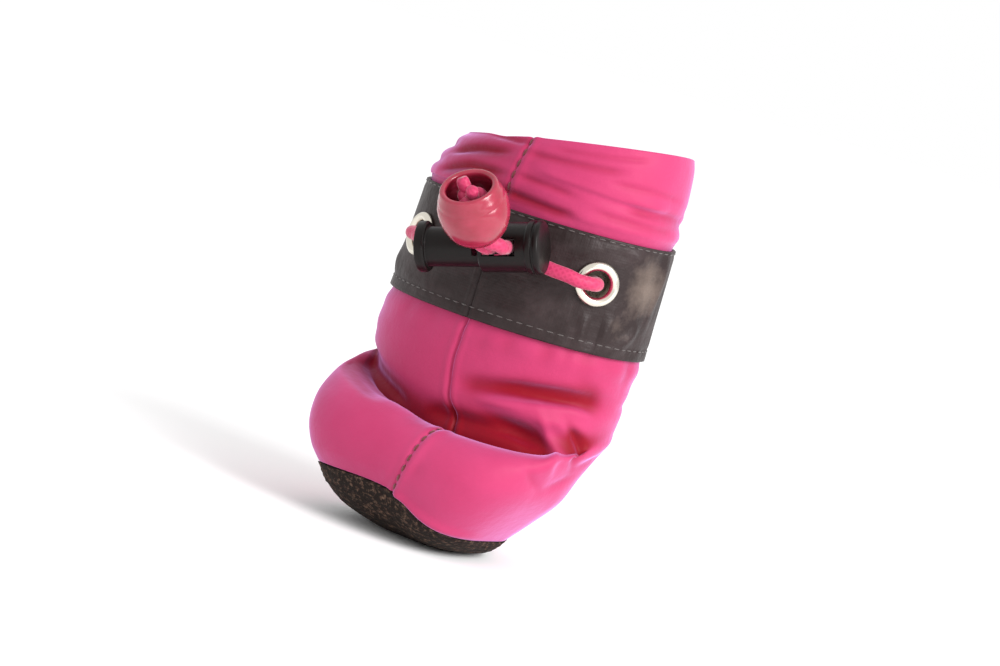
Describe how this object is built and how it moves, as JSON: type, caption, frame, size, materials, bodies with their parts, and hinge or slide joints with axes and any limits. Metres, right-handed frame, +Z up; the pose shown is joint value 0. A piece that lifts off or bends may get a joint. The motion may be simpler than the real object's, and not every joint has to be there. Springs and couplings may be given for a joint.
{
  "type": "dog boot",
  "caption": "Small padded fabric dog boot with a blunt sock-like foot, thin wrapped sole, reflective cuff band, and an elastic drawcord held by a spring cord lock with a bell end.",
  "frame": {"origin": "on the floor under the shaft's centre line, on the sole's flat underside", "axes": "+Z up along the shaft, -Y towards the toe, +X to the viewer's right when the toe faces the viewer"},
  "size_m": [0.0515, 0.0672, 0.0796],
  "materials": {
    "shell_fabric": "smooth pink polyester shell fabric, soft sheen",
    "sole_rubber": "black rubberised fabric, rough and speckled",
    "fleece_lining": "beige-grey fleece",
    "reflective_fabric": "dark grey-brown reflective woven tape with light stitch lines",
    "eyelet_metal": "bright nickel plate",
    "drawcord": "pink braided elastic cord",
    "lock_plastic": "black moulded plastic, satin",
    "bell_plastic": "pink moulded plastic, glossy, slightly translucent"
  },
  "bodies": {
    "shoe": {"upper": "shell_fabric", "outsole": "sole_rubber", "insole": "fleece_lining", "reflective_band": "reflective_fabric", "eyelet_left": "eyelet_metal", "eyelet_right": "eyelet_metal", "cord_lock_barrel": "lock_plastic", "drawcord_bar_left": "drawcord", "drawcord_bar_right": "drawcord", "drawcord_tail_left": "drawcord", "drawcord_tail_right": "drawcord", "drawcord_knot": "drawcord", "cord_bell": "bell_plastic"},
    "plunger": {"cord_lock_plunger": "lock_plastic"}
  },
  "joints": [
    {"name": "plunger_press", "type": "slide", "parent": "shoe", "child": "plunger", "axis": [0.9285, 0.2488, 0.2756], "range_m": [0, 0.002], "stiffness_N_per_m": 60, "springref_m": -0.003}
  ]
}
